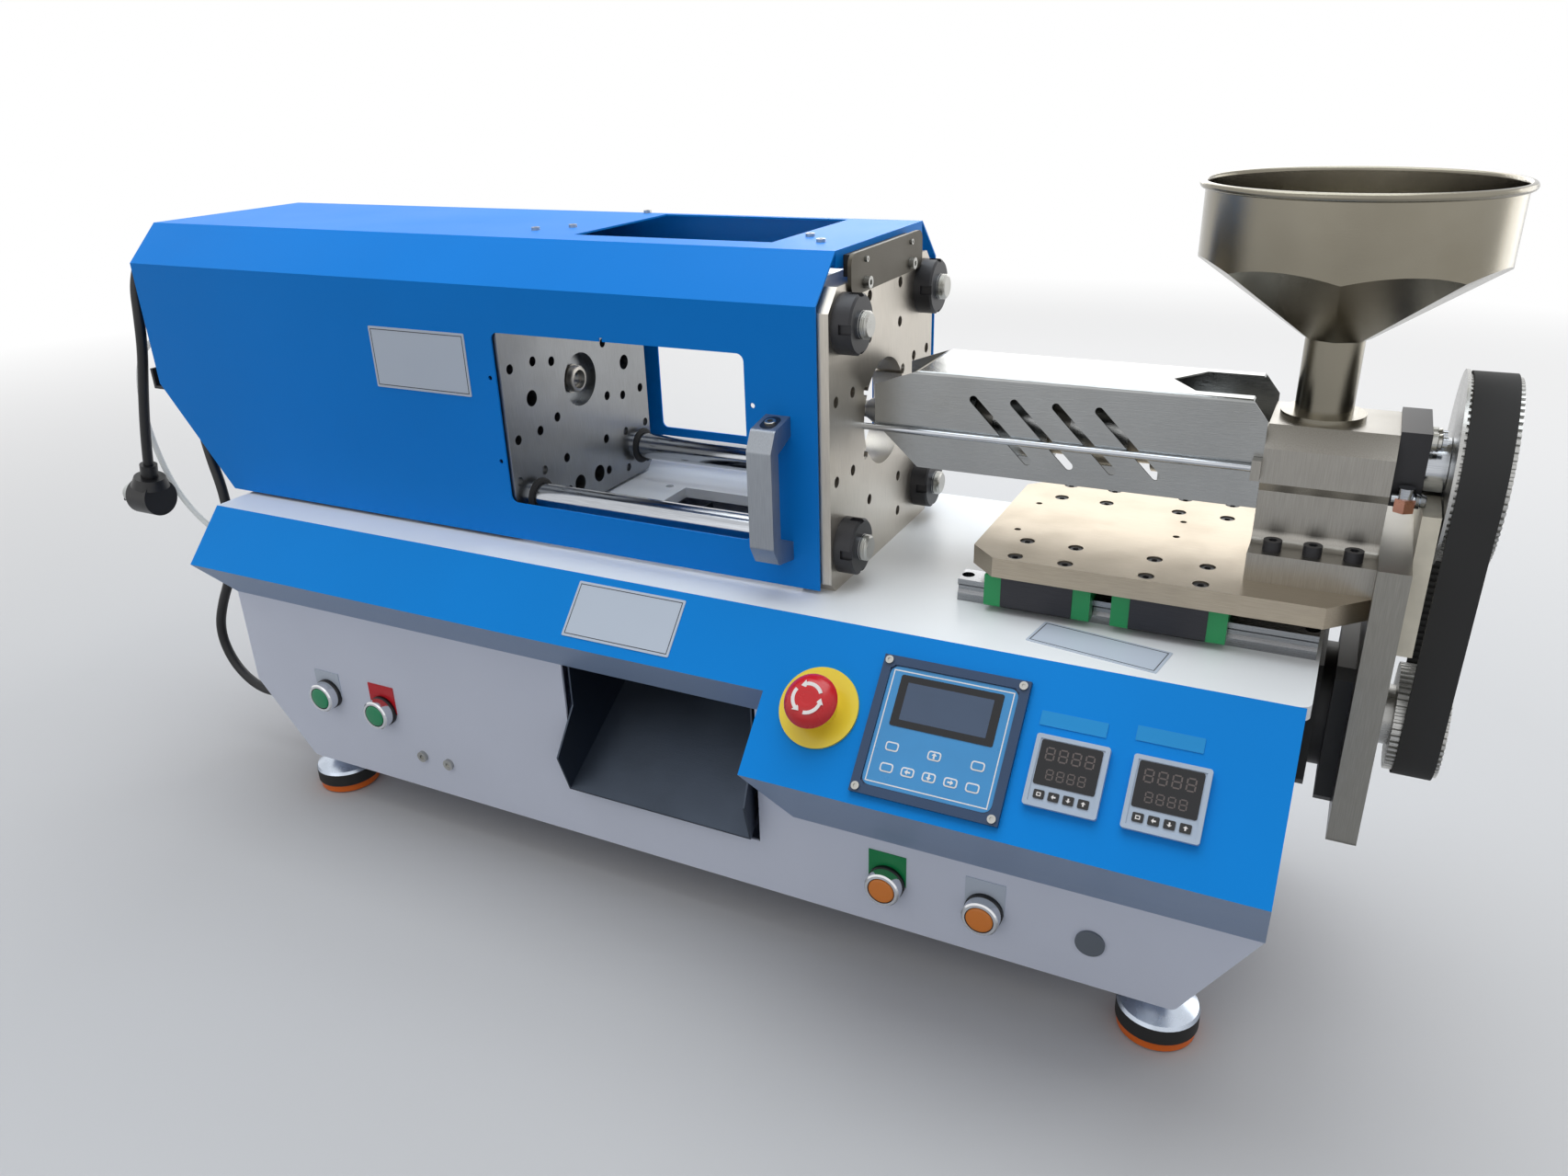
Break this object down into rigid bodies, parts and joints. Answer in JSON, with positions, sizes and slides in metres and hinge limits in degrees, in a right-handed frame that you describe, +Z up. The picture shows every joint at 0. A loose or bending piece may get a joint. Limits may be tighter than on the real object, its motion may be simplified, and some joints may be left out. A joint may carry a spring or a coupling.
{
  "type": "benchtop injection molding machine",
  "caption": "Benchtop injection moulding machine: hooded clamp with sliding platen, screw barrel and hopper on a railed carriage, belt drive, sloping control console and part chute.",
  "frame": {"origin": "on the floor under the middle of the machine's overall box, without its cords", "axes": "+X along the machine from the clamp to the injection unit, +Y from the console to the back, +Z up"},
  "size_m": [1.2529, 0.3795, 0.609],
  "materials": {
    "white_shell": "satin pale grey-white powder coat",
    "blue_shell": "satin sky blue powder coat",
    "blue_console": "satin blue powder coat",
    "plated_steel": "ground steel",
    "tie_chrome": "hard chrome, polished",
    "black_oxide": "black oxide",
    "dark_sheet": "folded steel sheet",
    "polished_sheet": "polished stainless sheet",
    "cast_block": "machined steel",
    "grey_plastic": "grey moulding",
    "black_plastic": "black moulding",
    "green_cap": "green end cap",
    "orange_ring": "orange ring",
    "black_rubber": "black rubber",
    "red_knob": "red mushroom",
    "yellow_disc": "yellow disc",
    "green_lens": "green lens",
    "orange_lens": "orange lens",
    "bezel_chrome": "chromed bezel",
    "brass": "brass",
    "pulley_metal": "machined aluminium",
    "pale_plate": "raw plate",
    "belt_rubber": "black belt",
    "clear_hose": "clear tube",
    "motor_black": "black motor"
  },
  "bodies": {
    "frame": {"cabinet": "white_shell", "deck": "white_shell", "console": "blue_console", "foot_cups": "tie_chrome", "foot_pads": "black_rubber", "foot_rings": "orange_ring", "chute": "dark_sheet", "fixed_platen": "plated_steel", "tie_bars": "tie_chrome", "tie_bar_nuts": "black_oxide", "rear_platen": "plated_steel", "clamp_cylinder": "pulley_metal", "hood": "blue_shell", "hood_brackets": "grey_plastic", "grab_handle": "grey_plastic", "rails": "cast_block", "stop_rod": "plated_steel", "display_unit": "black_plastic", "controllers": "black_plastic", "estop_base": "yellow_disc", "button_bezels": "bezel_chrome", "blanking_plug": "grey_plastic", "small_screws": "black_oxide", "lead_hooks": "black_oxide", "cable_gland": "black_plastic", "mains_lead": "black_rubber", "mains_plug": "black_plastic", "air_fittings": "black_plastic", "air_hose": "clear_hose"},
    "clamp": {"moving_platen": "plated_steel", "bush_flanges": "cast_block", "thrust_bridge": "plated_steel", "piston_rod": "tie_chrome"},
    "ejector": {"ejector_rod": "tie_chrome"},
    "carriage": {"carriage_plate": "plated_steel", "carriage_blocks": "cast_block", "block_caps": "green_cap", "carriage_screws": "black_oxide", "feed_block": "cast_block", "barrel": "plated_steel", "nozzle": "plated_steel", "heater_bands": "polished_sheet", "barrel_guard": "polished_sheet", "hopper": "polished_sheet", "hopper_neck": "polished_sheet", "motor_plate": "plated_steel", "motor": "motor_black", "pulley_spacer": "pale_plate", "bearing_housing": "black_oxide", "cooling_fittings": "brass", "belt": "belt_rubber"},
    "screw_drive": {"screw": "tie_chrome", "large_pulley": "pulley_metal"},
    "motor_rotor": {"small_pulley": "pulley_metal"},
    "stop_button": {"estop_stem": "black_plastic"},
    "stop_knob": {"estop_knob": "red_knob"},
    "power_button": {"button_power": "green_lens"},
    "heat_button": {"button_heat": "green_lens"},
    "start_button": {"button_start": "orange_lens"},
    "clamp_button": {"button_clamp": "orange_lens"}
  },
  "joints": [
    {"name": "clamp_slide", "type": "slide", "parent": "frame", "child": "clamp", "axis": [1, 0, 0], "range_m": [0, 0.17]},
    {"name": "ejector_slide", "type": "slide", "parent": "clamp", "child": "ejector", "axis": [1, 0, 0], "range_m": [0, 0.03]},
    {"name": "carriage_slide", "type": "slide", "parent": "frame", "child": "carriage", "axis": [1, 0, 0], "range_m": [0, 0.05]},
    {"name": "screw_turn", "type": "hinge", "parent": "carriage", "child": "screw_drive", "pos_m": [0.56075, 0.04426, 0.429], "axis": [1, 0, 0], "continuous": true},
    {"name": "motor_turn", "type": "hinge", "parent": "carriage", "child": "motor_rotor", "pos_m": [0.56075, 0.04426, 0.241], "axis": [1, 0, 0], "continuous": true},
    {"name": "estop_press", "type": "slide", "parent": "frame", "child": "stop_button", "axis": [0, 0.7296, -0.6839], "range_m": [0, 0.004], "stiffness_N_per_m": 800},
    {"name": "estop_twist", "type": "hinge", "parent": "stop_button", "child": "stop_knob", "pos_m": [0.18875, -0.15518, 0.26969], "axis": [0, 0.7296, -0.6839], "range_deg": [0, 35], "stiffness_Nm_per_rad": 0.05},
    {"name": "power_press", "type": "slide", "parent": "frame", "child": "power_button", "axis": [0, 1, 0], "range_m": [0, 0.003], "stiffness_N_per_m": 500},
    {"name": "heat_press", "type": "slide", "parent": "frame", "child": "heat_button", "axis": [0, 1, 0], "range_m": [0, 0.003], "stiffness_N_per_m": 500},
    {"name": "start_press", "type": "slide", "parent": "frame", "child": "start_button", "axis": [0, 1, 0], "range_m": [0, 0.003], "stiffness_N_per_m": 500},
    {"name": "clamp_press", "type": "slide", "parent": "frame", "child": "clamp_button", "axis": [0, 1, 0], "range_m": [0, 0.003], "stiffness_N_per_m": 500}
  ],
  "couplings": [
    {"joint": "motor_turn", "follows": "screw_turn", "ratio": 1.56}
  ]
}
